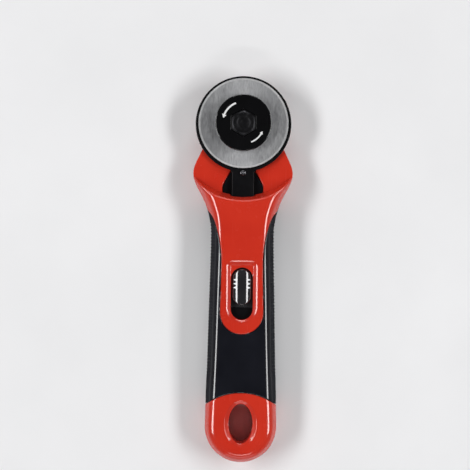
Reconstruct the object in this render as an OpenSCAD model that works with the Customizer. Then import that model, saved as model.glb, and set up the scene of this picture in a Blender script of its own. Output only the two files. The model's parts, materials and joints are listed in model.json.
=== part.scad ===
// Rotary cutter: a round blade on an axle at the head of a two-shell handle,
// with a sliding guard that a thumb button pulls back.
// It lies on its back: +Z is the front, +Y points from the handle to the blade.
// Every y below is counted from the blade's axle; axle_y moves the whole part
// so that the origin is at the centre of its base.

/* [Blade] */
// Diameter of the round blade
blade_d = 45; // [42:0.5:45]
// Thickness of the blade
blade_t = 0.3; // [0.3:0.05:0.35]
// Width of the ground bevel at the blade's edge
bevel_w = 1.0; // [0.8:0.1:2]

/* [Guard] */
// How far the guard's rim stands past the blade, in radius
guard_lip = 1.45; // [1.2:0.05:1.7]
// Travel of the guard from covered to open
guard_travel = 6.8; // [5:0.1:6.8]
// Width of the guard's neck
neck_w = 11; // [10:0.1:11.6]

/* [Handle] */
// Length from the blade's axle to the tail's end
tail_reach = 170; // [166:0.5:172]
// Radius of the round tail
tail_r = 18; // [17:0.25:18.5]
// Height of the front face over the parting plane
front_h = 8; // [8:0.1:9]
// Height of the parting plane over the rest plane
rear_h = 12; // [12:0.1:12.5]
// Thickness of the rubber grips
grip_t = 1.6; // [1.2:0.1:1.8]

/* [Thumb button] */
// Length of the thumb slot
slot_l = 26; // [26:0.1:27]
// Width of the thumb slot
slot_w = 10.9; // [10.6:0.1:11.4]
// How far the button goes down when it is pressed
press_travel = 1.2; // [0.8:0.1:1.2]

/* [Axle] */
// Radius of the bolt's shank
bolt_r = 2.5; // [2.3:0.1:2.5]
// Diameter of the cap in front of the blade
cap_d = 28.5; // [26:0.5:30]
// Diameter of the clamp nut at the back
nut_d = 20; // [18:0.5:21]

/* [Hidden] */
$fn = 48;
red = [0.80, 0.13, 0.09];
black = [0.05, 0.05, 0.06];
rubber = [0.09, 0.09, 0.11];
steel = [0.62, 0.62, 0.64];
dark_steel = [0.12, 0.12, 0.13];
brass = [0.72, 0.58, 0.30];
over = 1;               // how far a cutter runs past what it cuts
gap = 0.15;             // sliding clearance

// Levels of the stack on the axle
plate_t = 5;            // head plate
guard_t = 2.2;
guard_z = rear_h + gap;
face_gap = 0.05;        // between faces stacked on the axle
blade_washer_t = 0.4;
blade_washer_z = guard_z + guard_t + face_gap;
blade_z = blade_washer_z + blade_washer_t + face_gap;
cap_z = blade_z + blade_t + 0.1;
cap_h = 4;
wave_t = 0.4;
wave_z = rear_h - plate_t - face_gap - wave_t;
washer_t = 0.5;
washer_z = wave_z - face_gap - washer_t;
nut_h = 5.2;
nut_z = washer_z - face_gap - nut_h;
head_af = 11.6;         // bolt head, across flats
head_h = 2.6;
head_z = cap_z + 1.1;   // floor of the cap's recess

// Radii round the axle
bore_r = 4;             // hole in the blade
hub_r = bore_r - 0.03;
guard_r = blade_d / 2 + guard_lip;
guard_y = -0.4;         // centre of the guard's disc
recess_r = 36;          // foot of the recess in the front face
recess_top_r = 38.7;    // its rim

// The part's box runs from the guard's top to the tail, and the origin is at its middle
axle_y = (tail_reach - guard_y - guard_r) / 2;

// Outline of the handle's right side: tail arc, waist and shoulder, then the round head
tail_y = tail_r - tail_reach;
head_r = 15;
waist = [[tail_r, tail_y], [17.4, -125], [16.6, -90], [15.9, -60], [16.3, -50], [17.9, -43],
         [20.4, -37], [23.5, -31.3], [25, -26.5], [24.6, -22], [22, -16], [18, -8], [head_r, 0]];

// Edge of the red tongue on the front: from the shoulder down to a round end
tongue_end_r = 10.8;
tongue_end_y = -94.6;
tongue_top_y = -38;
tongue = [[22, tongue_top_y], [18.2, -43], [15.5, -46.4], [13.9, -49.4], [12.5, -54], [11.4, -58.5],
          [10.5, -66], [10.4, -74], [10.5, -82], [10.7, -89], [tongue_end_r, tongue_end_y]];

// The red tail starts at a wide arc
cap_arc_r = 28.5;
cap_arc_y = -163.2;
// The back grip starts at a wide arc too
back_arc_r = 40;
back_arc_y = -5;

// Hanging hole
hole_y = -150.2;
hole_half = [6, 9.9];
hole_lead = [2.2, 1.8];
hole_lead_h = 1.6;

// Thumb slot and the dish round it
slot_top_y = -72.2;
slot_mid_y = slot_top_y - slot_l / 2;
dish_half_w = 8;
dish_corner_r = 3.2;    // at the dish's upper corners
dish_top_y = -68.5;
dish_end_y = -100.2;
dish_h = 1.3;

// Inside of the shells
cavity_inset = 5.2;
cavity_top_y = -44;
cavity_end_y = -120;
mouth_y = -52;          // where the guard's neck passage opens into the cavity
front_ceiling = rear_h + front_h - 3.4;
rear_floor = 3.4;
channel_z = rear_h - 1.8;
channel_w = 12.7;
flare_w = 20.6;

// Screws that join the shells: [x, y]
screw_at = [[9.6, -50], [-9.6, -50], [0, -112], [0, -130]];
screw_seat_z = 6;
screw_head_r = 2.7;
screw_r = 1.45;
front_boss_r = 3;
rear_boss_r = 3.5;
boss_depth = 0.3;       // how far a boss stays under the skin that the grip lies on

// Slide carrier and button
bar_w = 11;
bar_top_y = -19;
slide_gap = 0.25;       // between the carrier's shoulders and the channel
shoulder_w = flare_w - 2 * slide_gap;
shoulder_top_y = -24.5; // the shoulders stop against the channel's flare
shoulder_end_y = -36;
block_w = 17;
block_top_y = -69.9;
block_end_y = -100;
bar_z = channel_z + 0.2;
bar_t = 1.6;
block_h = front_ceiling - 0.4 - bar_z;
button_l = 18;
button_w = 9.6;
button_y = -81.9;
flange = [13, 20.6, 1.6];
flange_z = bar_z + block_h - 0.2 - flange[2];
pocket_z = bar_z + 0.8;
button_top = rear_h + front_h + 0.2;
rivet_y = -24.75;
rivet_r = 1;
rivet_hole_r = rivet_r + 0.02;
rivet_head_r = 1.6;
rivet_head_h = 0.6;
neck_top_y = -19.5;
neck_end_y = -46;
axle_slot_w = 8.4;      // slot in the guard that the axle's bush stands in
button_groove_r = 0.45;
detent_notch_r = 0.5;
detent_mid_y = -88;

// ---------- curves ----------

function blend(t) = t <= 0 ? 0 : t >= 1 ? 1 : t * t * (3 - 2 * t);

function spline(a, b, c, d, t) =
    0.5 * (2 * b + (c - a) * t + (2 * a - 5 * b + 4 * c - d) * t * t + (3 * b - a - 3 * c + d) * t * t * t);

// A smooth curve through keys, with steps points for each stretch, and a phantom key past each end
function smooth(keys, before, after, steps) =
    let (k = concat([before], keys, [after]))
    [for (i = [1 : len(k) - 3], s = [0 : steps - 1]) spline(k[i - 1], k[i], k[i + 1], k[i + 2], s / steps)];

function arc(x, y, r, a0, a1, steps) =
    [for (i = [0 : steps]) let (a = a0 + (a1 - a0) * i / steps) [x + r * cos(a), y + r * sin(a)]];

// The right side from the tail's end to the head's top
side = concat(
    [for (i = [0 : 6]) [tail_r * cos(-90 + 90 * i / 7), tail_y + tail_r * sin(-90 + 90 * i / 7)]],
    smooth(waist, [tail_r, tail_y - 15], [head_r * cos(30), head_r * sin(30)], 2),
    arc(0, 0, head_r, 0, 90, 4));
last = len(side) - 1;

// Outward normal of the side at point i
function normal(i) =
    i == 0 ? [0, -1] : i == last ? [0, 1] :
    let (d = side[i + 1] - side[i - 1]) [d[1], -d[0]] / norm(d);

function inset_side(d) = [for (i = [0 : last]) side[i] - d * normal(i)];

function mirrored(p) = [for (i = [len(p) - 1 : -1 : 0]) [-p[i][0], p[i][1]]];

// Section from the flat face's edge to the parting plane: [inset, share of the height].
// A fillet of radius r leaves the flat at inset flat_at, then a straight side runs to the plane.
function section(h, flat_at, r, steps, t = 0) =
    let (b = atan2(h - r, flat_at), a = b + asin(r / norm([flat_at, h - r])))
    concat(
        [for (i = [0 : steps]) let (e = a * i / steps)
            [flat_at - r * sin(e) + t, 1 - (r - r * cos(e)) / h]],
        [[t, 0]]);

// ---------- the body's two halves ----------

// Rings of the outline, each inset and raised as the section says, closed by a flat base and a flat top.
// heights lists the height at each point of the side, negative for a half that hangs down;
// t takes that much off the flat face.
module pillow(profile, heights, z0, t) {
    n = last + 1;
    m = 2 * last;
    rings = [for (s = profile) let (p = inset_side(s[0])) [for (i = [0 : m - 1])
        let (k = i <= last ? i : m - i, x = i <= last ? p[k][0] : -p[k][0])
        [x, p[k][1], z0 + (heights[k] > 0 ? 1 : -1) * (s[1] * (abs(heights[k]) - t))]]];
    top = 0;
    base = len(profile) - 1;
    up = heights[0] > 0;
    walls = [for (r = [0 : base - 1], i = [0 : m - 1]) let (j = (i + 1) % m, a = r * m, b = (r + 1) * m)
        each [[a + i, a + j, b + j], [a + i, b + j, b + i]]];
    // caps as strips between the two sides
    function strip(r, flip) = [for (i = [0 : last - 1])
        let (a = r * m + i, b = r * m + i + 1, c = r * m + (m - i - 1) % m, d = r * m + (m - i) % m,
             f = i == 0 ? [a, b, c] : i == last - 1 ? [a, b, d] : [a, b, c, d])
        flip ? [for (q = [len(f) - 1 : -1 : 0]) f[q]] : f];
    faces = concat(walls, strip(top, true), strip(base, false));
    polyhedron([for (r = rings) each r],
        up ? faces : [for (f = faces) [for (q = [len(f) - 1 : -1 : 0]) f[q]]]);
}

// Height of the front half: full over the grip, lower at the tail
front_heights = [for (p = side) front_h - 2.5 * blend((-100 - p[1]) / 65)];
// Depth of the rear half: the head plate is thin, the grip deep
rear_heights = [for (p = side) -(plate_t + (rear_h - plate_t) * blend((-18 - p[1]) / 30))];

front_section = [4.6, 2.6];
rear_section = [6.8, 5.6];

module front_half(t = 0)
    pillow(section(front_h, front_section[0], front_section[1], 4, t), front_heights, rear_h, t);

module rear_half(t = 0)
    pillow(section(rear_h, rear_section[0], rear_section[1], 4, t), rear_heights, rear_h, t);

// ---------- outlines of the colours, slots and holes ----------

module tongue_area() {
    edge = concat(
        smooth(tongue, [26, -31], [tongue_end_r, tongue_end_y - 4], 2),
        arc(0, tongue_end_y, tongue_end_r, 0, -90, 8));
    polygon(concat([[22, 0]], edge, [for (p = mirrored(edge)) if (p[0] < 0) p], [[-22, 0]]));
}

module front_grip_area() difference() {
    translate([-30, cap_arc_y]) square([60, tongue_top_y - cap_arc_y]);
    tongue_area();
    translate([0, cap_arc_y]) circle(cap_arc_r, $fn = 96);
}

module rear_grip_area() difference() {
    translate([-30, cap_arc_y]) square([60, -30 - cap_arc_y]);
    translate([0, back_arc_y]) circle(back_arc_r, $fn = 96);
    translate([0, cap_arc_y]) circle(cap_arc_r, $fn = 96);
}

module oval(grow = [0, 0]) polygon([for (a = [0 : 10 : 350])
    [(hole_half[0] + grow[0]) * cos(a), (hole_half[1] + grow[1]) * sin(a)]]);

module stadium(w, y0, y1) {
    translate([-w / 2, y0 + w / 2]) square([w, y1 - y0 - w]);
    for (y = [y0 + w / 2, y1 - w / 2]) translate([0, y]) circle(w / 2);
}

module dish_area() hull() {
    translate([0, dish_end_y + dish_half_w]) circle(dish_half_w);
    for (s = [-1, 1]) translate([s * (dish_half_w - dish_corner_r), dish_top_y - dish_corner_r])
        circle(dish_corner_r);
}

// Inside of the shells in plan
module cavity_area() {
    p = [for (q = inset_side(cavity_inset)) if (q[1] > cavity_end_y && q[1] < cavity_top_y) q];
    polygon(concat(p, mirrored(p)));
}

// Channel for the carrier's bar in the head plate, flared below the guard
module channel_area() {
    right = [[channel_w / 2, -18], [channel_w / 2, -24.2], [8.7, -28], [flare_w / 2, -31.5],
             [flare_w / 2, shoulder_end_y - guard_travel - 0.5], [channel_w / 2, cavity_top_y],
             [channel_w / 2, cavity_top_y - 4]];
    polygon(concat(right, mirrored(right)));
}

// Hole for hanging the cutter up, with a lead-in at both faces
module hanging_hole(z0, z1) translate([0, hole_y, 0]) {
    translate([0, 0, z0 - over]) linear_extrude(z1 - z0 + 2 * over) oval();
    for (face = [[z0, 1], [z1, -1]]) hull() {
        translate([0, 0, face[0] - face[1] * over]) linear_extrude(0.01)
            oval(hole_lead * (1 + over / hole_lead_h));
        translate([0, 0, face[0] + face[1] * hole_lead_h * 1.2]) linear_extrude(0.01) oval(hole_lead * -0.2);
    }
}

// ---------- handle ----------

module grip_pocket(z0, h) difference() {
    translate([0, 0, z0]) linear_extrude(h) children(0);
    children(1);
}

module front_shell() color(red) difference() {
    union() {
        difference() {
            front_half();
            grip_pocket(rear_h - over, front_h + 2 * over) { front_grip_area(); front_half(grip_t); }
            translate([0, 0, rear_h - over]) linear_extrude(front_ceiling - rear_h + over) cavity_area();
        }
        intersection() {
            for (p = screw_at) translate([p[0], p[1], rear_h])
                cylinder(h = front_ceiling - rear_h + 0.5, r = front_boss_r);
            front_half(grip_t + boss_depth);
        }
    }
    // recess round the guard, its wall leaning back
    cylinder_slope = (recess_top_r - recess_r) / front_h;
    translate([0, 0, rear_h - over])
        cylinder(h = front_h + 2 * over, r1 = recess_r - over * cylinder_slope,
                 r2 = recess_top_r + over * cylinder_slope, $fn = 128);
    // mouth that the guard's neck runs through
    translate([-neck_w / 2 - 0.5, mouth_y, rear_h - over])
        cube([neck_w + 1, -recess_r + 3 - mouth_y, over + guard_z - rear_h + guard_t + 0.25]);
    // thumb slot and the dish round it
    translate([0, 0, front_ceiling - over]) linear_extrude(front_h)
        stadium(slot_w, slot_top_y - slot_l, slot_top_y);
    hull() {
        translate([0, 0, rear_h + front_h]) linear_extrude(0.5) dish_area();
        translate([0, 0, rear_h + front_h - dish_h]) linear_extrude(0.01)
            stadium(slot_w, slot_top_y - slot_l, slot_top_y);
    }
    for (p = screw_at) translate([p[0], p[1], rear_h - over]) cylinder(h = 4.6 + over, r = screw_r + 0.05);
    hanging_hole(rear_h, rear_h + front_h - 2.2);
}

module front_grip() color(rubber) difference() {
    intersection() {
        front_half();
        translate([0, 0, rear_h - over]) linear_extrude(front_h + 2 * over) front_grip_area();
    }
    front_half(grip_t);
}

module rear_shell() color(red) difference() {
    union() {
        difference() {
            rear_half();
            grip_pocket(-over, rear_h + 2 * over) { rear_grip_area(); rear_half(grip_t); }
            translate([0, 0, rear_floor]) linear_extrude(rear_h) cavity_area();
        }
        intersection() {
            for (p = screw_at) translate([p[0], p[1], rear_floor - 0.5])
                cylinder(h = rear_h - rear_floor + 0.5, r = rear_boss_r);
            rear_half(grip_t + boss_depth);
        }
        // rails that the carrier's block runs between
        for (s = [-1, 1])
            translate([s * (block_w / 2 + 1) - 0.8, block_end_y - guard_travel, rear_floor - 0.5])
                cube([1.6, block_top_y - block_end_y + guard_travel + 2, rear_h - rear_floor + 0.5]);
        // posts under the detent spring's ends
        for (y = detent_ends)
            translate([-4, y - 1, rear_floor - 0.5]) cube([8, 2, detent_z - rear_floor + 0.5]);
    }
    translate([0, 0, channel_z]) linear_extrude(rear_h) channel_area();
    // keyed seat of the bush's tang, and the bolt's hole
    translate([0, 0, rear_h - tang_h - face_gap]) linear_extrude(3) tang(0.05);
    translate([0, 0, -over]) cylinder(h = rear_h, r = bolt_r + 0.1);
    for (p = screw_at) translate([p[0], p[1], -over]) {
        cylinder(h = rear_h + 2 * over, r = screw_r + 0.15);
        cylinder(h = screw_seat_z + over, r = screw_head_r + 0.3);
    }
    hanging_hole(0, rear_h);
}

module rear_grip() color(rubber) difference() {
    intersection() {
        rear_half();
        translate([0, 0, -over]) linear_extrude(rear_h + over) rear_grip_area();
    }
    rear_half(grip_t);
    for (p = screw_at) translate([p[0], p[1], -over]) cylinder(h = screw_seat_z, r = screw_head_r + 0.3);
}

module body_screws() color(steel) for (p = screw_at) translate([p[0], p[1], screw_seat_z]) {
    difference() {
        translate([0, 0, -2]) cylinder(h = 2, r1 = screw_head_r - 0.5, r2 = screw_head_r);
        // cross recess
        for (a = [0, 90]) rotate(a) translate([-1.5, -0.35, -3]) cube([3, 0.7, 2]);
    }
    cylinder(h = 10, r = screw_r);
}

// A bowed leaf under the carrier that holds it open or closed
detent_ends = [-77, -99];
detent_z = 6.5;
detent_w = 6;
detent_leaf = 0.3;

module detent_spring() color(steel) {
    mid = (detent_ends[0] + detent_ends[1]) / 2;
    reach = (detent_ends[0] - detent_ends[1]) / 2;
    rise = bar_z - gap - detent_z - detent_leaf;
    low = [for (i = [-8 : 8]) [mid + reach * i / 8, detent_z + rise * (1 + cos(180 * i / 8)) / 2]];
    rotate([90, 0, 90]) translate([0, 0, -detent_w / 2]) linear_extrude(detent_w)
        polygon(concat(low, [for (i = [len(low) - 1 : -1 : 0]) low[i] + [0, detent_leaf]]));
}

// ---------- axle ----------

module hexagon(af, h) rotate(30) cylinder(h = h, r = af / 2 / cos(30), $fn = 6);

module axle_bolt() color(dark_steel) {
    translate([0, 0, head_z]) difference() {
        hexagon(head_af, head_h);
        // corners of the hexagon turned off at 30 degrees
        translate([0, 0, head_h - 0.5]) difference() {
            cylinder(h = 1, r = 9);
            cylinder(h = 1, r1 = head_af / 2 + 0.75, r2 = head_af / 2 - 1);
        }
    }
    translate([0, 0, nut_z + 0.6]) cylinder(h = head_z - nut_z - 0.5, r = bolt_r);
}

// Two flats keep the bush from turning in the head plate
module tang(grow = 0) intersection() {
    circle(hub_r + grow);
    square([6.4 + 2 * grow, 10], center = true);
}
tang_h = 2;

module axle_bush() color(steel) difference() {
    union() {
        translate([0, 0, rear_h]) cylinder(h = cap_z - rear_h, r = hub_r);
        translate([0, 0, rear_h - tang_h]) linear_extrude(tang_h + 0.1) tang();
    }
    translate([0, 0, rear_h - 3]) cylinder(h = cap_z - rear_h + 4, r = bolt_r + 0.05);
}

module blade_cap() color(black) translate([0, 0, cap_z]) {
    rim = 0.7;
    difference() {
        rotate_extrude($fn = 96) polygon(concat(
            [[bolt_r + 0.05, 0], [cap_d / 2 - 0.3, 0], [cap_d / 2, 0.3]],
            arc(cap_d / 2 - rim, cap_h - rim, rim, 0, 90, 6),
            [[bolt_r + 0.05, cap_h]]));
        // pocket that keeps the bolt's head from turning
        translate([0, 0, head_z - cap_z]) hexagon(head_af + 0.1, cap_h);
        translate([0, 0, cap_h - 0.5]) hexagon(head_af + 0.8, cap_h);
    }
}

module ring(z, h, r, bore) translate([0, 0, z]) difference() {
    cylinder(h = h, r = r);
    translate([0, 0, -over]) cylinder(h = h + 2 * over, r = bore);
}

module blade_washer() color(steel) ring(blade_washer_z, blade_washer_t, 7, hub_r + 0.05);
module wave_washer() color(steel) ring(wave_z, wave_t, 5.5, bolt_r + 0.25);
module nut_washer() color(steel) ring(washer_z, washer_t, 6.5, bolt_r + 0.1);

insert_h = 4;
insert_af = 8.6;

module clamp_nut() color(black) translate([0, 0, nut_z]) difference() {
    rotate_extrude($fn = 96) polygon([[bolt_r + 0.3, 0], [nut_d / 2 - 1.2, 0], [nut_d / 2, 1.2],
        [nut_d / 2, nut_h - 1], [nut_d / 2 - 1, nut_h], [bolt_r + 0.3, nut_h]]);
    // finger scallops round the rim
    for (a = [0 : 36 : 324])
        rotate(a) translate([nut_d / 2 + 1.5, 0, -over]) cylinder(h = nut_h + 2 * over, r = 2.4);
    // pocket of the insert
    translate([0, 0, nut_h - insert_h]) hexagon(insert_af, insert_h + over);
}

module nut_insert() color(brass) translate([0, 0, nut_z + nut_h - insert_h]) difference() {
    hexagon(insert_af, insert_h);
    translate([0, 0, -over]) cylinder(h = insert_h + 2 * over, r = bolt_r + 0.04);
}

module blade() color(steel) translate([0, 0, blade_z]) rotate_extrude($fn = 128)
    polygon([[bore_r, 0], [blade_d / 2 - bevel_w, 0], [blade_d / 2, blade_t / 2 - 0.02],
             [blade_d / 2, blade_t / 2 + 0.02], [blade_d / 2 - bevel_w, blade_t], [bore_r, blade_t]]);

// ---------- guard and slider ----------

module guard() color(black) difference() {
    union() {
        translate([0, guard_y, guard_z]) cylinder(h = guard_t, r = guard_r, $fn = 128);
        translate([-neck_w / 2, neck_end_y, rear_h])
            cube([neck_w, neck_top_y - neck_end_y, guard_z - rear_h + guard_t]);
    }
    // the axle runs along this slot as the guard slides
    translate([0, 0, guard_z - over]) linear_extrude(guard_t + 2 * over)
        stadium(axle_slot_w, -axle_slot_w / 2, guard_travel + axle_slot_w / 2 + 0.2);
    translate([0, rivet_y, rear_h - over]) cylinder(h = guard_t + 2 * over, r = rivet_hole_r);
}

module guard_rivet() color(dark_steel) translate([0, rivet_y, 0]) {
    translate([0, 0, bar_z]) cylinder(h = guard_z + guard_t - bar_z, r = rivet_r);
    // domed head
    dome_r = 2.5;
    translate([0, 0, guard_z + guard_t]) intersection() {
        cylinder(h = rivet_head_h, r = rivet_head_r);
        translate([0, 0, rivet_head_h - dome_r]) sphere(dome_r);
    }
}

module shoulder_area() {
    right = [[bar_w / 2 - 0.5, shoulder_top_y], [channel_w / 2 - slide_gap, shoulder_top_y], [8.35, -28.2],
             [shoulder_w / 2, -31.7], [shoulder_w / 2, shoulder_end_y], [bar_w / 2 - 0.5, shoulder_end_y]];
    polygon(concat(right, mirrored(right)));
}

module slide_carrier() color(black) difference() {
    union() {
        translate([-bar_w / 2, block_top_y - 1, bar_z]) cube([bar_w, bar_top_y - block_top_y + 1, bar_t]);
        translate([-block_w / 2, block_end_y, bar_z]) cube([block_w, block_top_y - block_end_y, block_h]);
        translate([0, 0, bar_z]) linear_extrude(bar_t - gap) shoulder_area();
    }
    // pocket that the button's foot moves in
    translate([-flange[0] / 2 - 0.2, button_y - flange[1] / 2 - 0.2, pocket_z])
        cube([flange[0] + 0.4, flange[1] + 0.4, 10]);
    translate([0, rivet_y, 0]) cylinder(h = rear_h + over, r = rivet_hole_r);
    // notches for the detent spring
    for (dy = [0, guard_travel]) translate([-4, detent_mid_y + dy, bar_z - 0.05]) rotate([0, 90, 0])
        cylinder(h = 8, r = detent_notch_r);
}

module thumb_button() color(black) difference() {
    union() {
        translate([-flange[0] / 2, button_y - flange[1] / 2, flange_z]) cube(flange);
        translate([0, 0, flange_z]) intersection() {
            linear_extrude(12) stadium(button_w, button_y - button_l / 2, button_y + button_l / 2);
            // crowned across, and falling away towards the tail
            crown_r = 6.5;
            translate([0, button_y + 2, button_top - flange_z - crown_r]) rotate([88, 0, 0])
                cylinder(h = 60, r = crown_r, center = true, $fn = 96);
        }
    }
    // three grooves in each edge, lying along the crown's slope
    for (i = [-1 : 1], s = [-1, 1]) translate([s * 3.7, button_y + 1.7 + 1.95 * i, button_top - 1])
        rotate([0, 90 + 33 * s, 0]) cylinder(h = 3, r = button_groove_r, center = true, $fn = 24);
    // seat of the spring
    translate([0, button_y, flange_z - over]) cylinder(h = over + 0.6, r = 3.9);
}

module button_spring() color(steel) {
    turns = 3;
    coil_r = 3.2;
    wire_r = 0.25;
    sides = 6;
    steps = round(turns * 16);
    z0 = pocket_z + wire_r + 0.05;
    z1 = flange_z + 0.6 - wire_r - 0.05;
    rings = [for (i = [0 : steps]) let (a = 360 * turns * i / steps, z = z0 + (z1 - z0) * i / steps)
        [for (k = [0 : sides - 1]) let (b = 360 * k / sides, r = coil_r + wire_r * cos(b))
            [r * cos(a), button_y + r * sin(a), z + wire_r * sin(b)]]];
    walls = [for (i = [0 : steps - 1], k = [0 : sides - 1])
        let (a = i * sides + k, b = i * sides + (k + 1) % sides)
        each [[a, a + sides, b + sides], [a, b + sides, b]]];
    polyhedron([for (r = rings) each r],
        concat(walls, [[for (k = [0 : sides - 1]) k]],
               [[for (k = [sides - 1 : -1 : 0]) steps * sides + k]]));
}

translate([0, axle_y, 0]) {
    front_shell();
    rear_shell();
    front_grip();
    rear_grip();
    body_screws();
    detent_spring();
    axle_bolt();
    axle_bush();
    blade_cap();
    blade_washer();
    wave_washer();
    nut_washer();
    clamp_nut();
    nut_insert();
    blade();
    guard();
    guard_rivet();
    slide_carrier();
    thumb_button();
    button_spring();
}
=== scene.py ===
import itertools
import json
import math

import bmesh
import bpy
import numpy as np
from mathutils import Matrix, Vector


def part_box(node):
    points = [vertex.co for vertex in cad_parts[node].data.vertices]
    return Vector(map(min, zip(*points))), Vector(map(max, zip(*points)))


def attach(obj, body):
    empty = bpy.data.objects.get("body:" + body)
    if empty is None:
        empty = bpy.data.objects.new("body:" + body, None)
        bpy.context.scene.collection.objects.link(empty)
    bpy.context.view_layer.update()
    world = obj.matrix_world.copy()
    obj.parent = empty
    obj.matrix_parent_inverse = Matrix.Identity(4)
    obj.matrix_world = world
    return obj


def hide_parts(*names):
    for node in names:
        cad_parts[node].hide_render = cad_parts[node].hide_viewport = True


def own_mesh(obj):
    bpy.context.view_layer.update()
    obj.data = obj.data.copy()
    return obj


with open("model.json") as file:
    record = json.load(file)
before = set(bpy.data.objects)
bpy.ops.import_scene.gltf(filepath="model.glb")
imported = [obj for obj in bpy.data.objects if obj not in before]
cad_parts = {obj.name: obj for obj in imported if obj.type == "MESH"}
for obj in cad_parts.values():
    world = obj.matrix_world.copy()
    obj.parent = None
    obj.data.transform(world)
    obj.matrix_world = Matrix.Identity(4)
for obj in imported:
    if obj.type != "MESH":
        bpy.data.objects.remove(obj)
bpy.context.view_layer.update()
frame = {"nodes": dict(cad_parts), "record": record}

# The plastic and rubber forms are meshed from distance fields, round pieces are turned, the guard is a
# plate with rounded edges, and the small pieces inside keep their CAD shape and get a better material.

# Lengths are worked out in millimetres, with y counted from the blade's axle.
MM = 0.001
blade_lo, blade_hi = (Vector(v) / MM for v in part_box("blade"))
AXLE_Y = (blade_lo.y + blade_hi.y) / 2
BLADE_R = (blade_hi.x - blade_lo.x) / 2


def span(node):
    """A node's box in millimetres, with y from the axle."""
    lo, hi = (np.array(v, dtype=float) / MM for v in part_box(node))
    lo[1] -= AXLE_Y
    hi[1] -= AXLE_Y
    return lo, hi


# how far each sliding joint goes
TRAVEL = {joint["name"]: joint["range_m"][1] / MM
          for joint in frame["record"]["behaviour"]["joints"] if "range_m" in joint}
# the halves meet at PART_Z, and the front and the back lie this far from it
PART_Z = span("rear_shell")[1][2]
FRONT_H = span("front_shell")[1][2] - PART_Z
REAR_H = PART_Z
PLATE_T = 5.0
TAIL_R = 18.0
TAIL_Y = span("rear_shell")[0][1] + TAIL_R
HEAD_R = 15.0

# ------------------------------------------------------------------ curves


def blend(t):
    """A step from 0 to 1 with a level start and end."""
    t = np.clip(t, 0, 1)
    return t * t * (3 - 2 * t)


def polar(r, degrees):
    a = math.radians(degrees)
    return np.array([r * math.cos(a), r * math.sin(a)])


def arc(x, y, r, start, end, steps):
    return [np.array([x, y]) + polar(r, start + (end - start) * i / steps) for i in range(steps + 1)]


def smooth(keys, before, after, steps):
    """A Catmull-Rom curve through the keys, with a phantom key past each end."""
    keys = np.array([before, *keys, after], dtype=float)
    curve = []
    for a, b, c, d in zip(keys, keys[1:], keys[2:], keys[3:]):
        for s in range(steps):
            t = s / steps
            curve.append(0.5 * (2 * b + (c - a) * t + (2 * a - 5 * b + 4 * c - d) * t * t
                                + (3 * b - a - 3 * c + d) * t ** 3))
    return curve


def closed(right):
    """A closed outline from its right half. Points on the axis aren't repeated on the left."""
    right = [np.array(p, dtype=float) for p in right]
    return np.array(right + [p * (-1, 1) for p in reversed(right) if p[0] > 1e-9])


# right edges: the handle's side from tail to head, the red tongue down the front, the neck's passage
WAIST = [(TAIL_R, TAIL_Y), (17.4, -125), (16.6, -90), (15.9, -60), (16.3, -50), (17.9, -43),
         (20.4, -37), (23.5, -31.3), (25, -26.5), (24.6, -22), (22, -16), (18, -8), (HEAD_R, 0)]
TONGUE_R, TONGUE_Y, TONGUE_TOP = 10.8, -94.6, -38
TONGUE = [(22, TONGUE_TOP), (18.2, -43), (15.5, -46.4), (13.9, -49.4), (12.5, -54), (11.4, -58.5),
          (10.5, -66), (10.4, -74), (10.5, -82), (10.7, -89), (TONGUE_R, TONGUE_Y)]
CHANNEL = [(6.35, -18), (6.35, -24.2), (8.7, -28), (10.3, -31.5), (10.3, -43.3), (6.35, -44), (6.35, -48)]

handle_edge = (arc(0, TAIL_Y, TAIL_R, -90, 0, 32)[:-1]
               + smooth(WAIST, (TAIL_R, TAIL_Y - 15), polar(HEAD_R, 30), 12)
               + arc(0, 0, HEAD_R, 0, 90, 28))
tongue_edge = (smooth(TONGUE, (26, -31), (TONGUE_R, TONGUE_Y - 4), 10)
               + arc(0, TONGUE_Y, TONGUE_R, 0, -90, 32))


class Flat:
    """Signed distance to a closed outline that is the same on both sides, read from a fine grid. The
    grid reaches from the axis to WIDTH, and from LOW to HIGH along y."""
    CELL = 0.25
    WIDTH, LOW, HIGH = 30, -176, 32

    def __init__(self, outline):
        x, y = np.meshgrid(np.arange(0, self.WIDTH + 0.01, self.CELL),
                           np.arange(self.LOW, self.HIGH + 0.01, self.CELL), indexing="ij")
        nearest = np.full(x.shape, 1e9)
        inside = np.zeros(x.shape, dtype=bool)
        for (ax, ay), (bx, by) in zip(outline, np.roll(outline, -1, axis=0)):
            dx, dy = bx - ax, by - ay
            length = dx * dx + dy * dy
            if length < 1e-12:
                continue
            t = np.clip(((x - ax) * dx + (y - ay) * dy) / length, 0, 1)
            nearest = np.minimum(nearest, (x - ax - t * dx) ** 2 + (y - ay - t * dy) ** 2)
            if ay != by:
                inside ^= ((ay > y) != (by > y)) & (x < ax + (y - ay) * dx / dy)
        self.grid = np.where(inside, -1, 1) * np.sqrt(nearest)

    def __call__(self, x, y):
        u = np.clip(np.abs(x) / self.CELL, 0, self.grid.shape[0] - 1.001)
        v = np.clip((y - self.LOW) / self.CELL, 0, self.grid.shape[1] - 1.001)
        i, j = u.astype(int), v.astype(int)
        u, v = u - i, v - j
        g = self.grid
        return ((g[i, j] * (1 - u) + g[i + 1, j] * u) * (1 - v)
                + (g[i, j + 1] * (1 - u) + g[i + 1, j + 1] * u) * v)


outline_d = Flat(closed(handle_edge))
tongue_d = Flat(closed([(22, 0)] + tongue_edge))
channel_d = Flat(closed(CHANNEL))

# ------------------------------------------------------------------ solid fields, negative inside


def both(*fields):
    """What lies inside every one of the fields."""
    return np.maximum.reduce(np.broadcast_arrays(*fields))


def either(*fields):
    """What lies inside any of the fields."""
    return np.minimum.reduce(np.broadcast_arrays(*fields))


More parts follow.
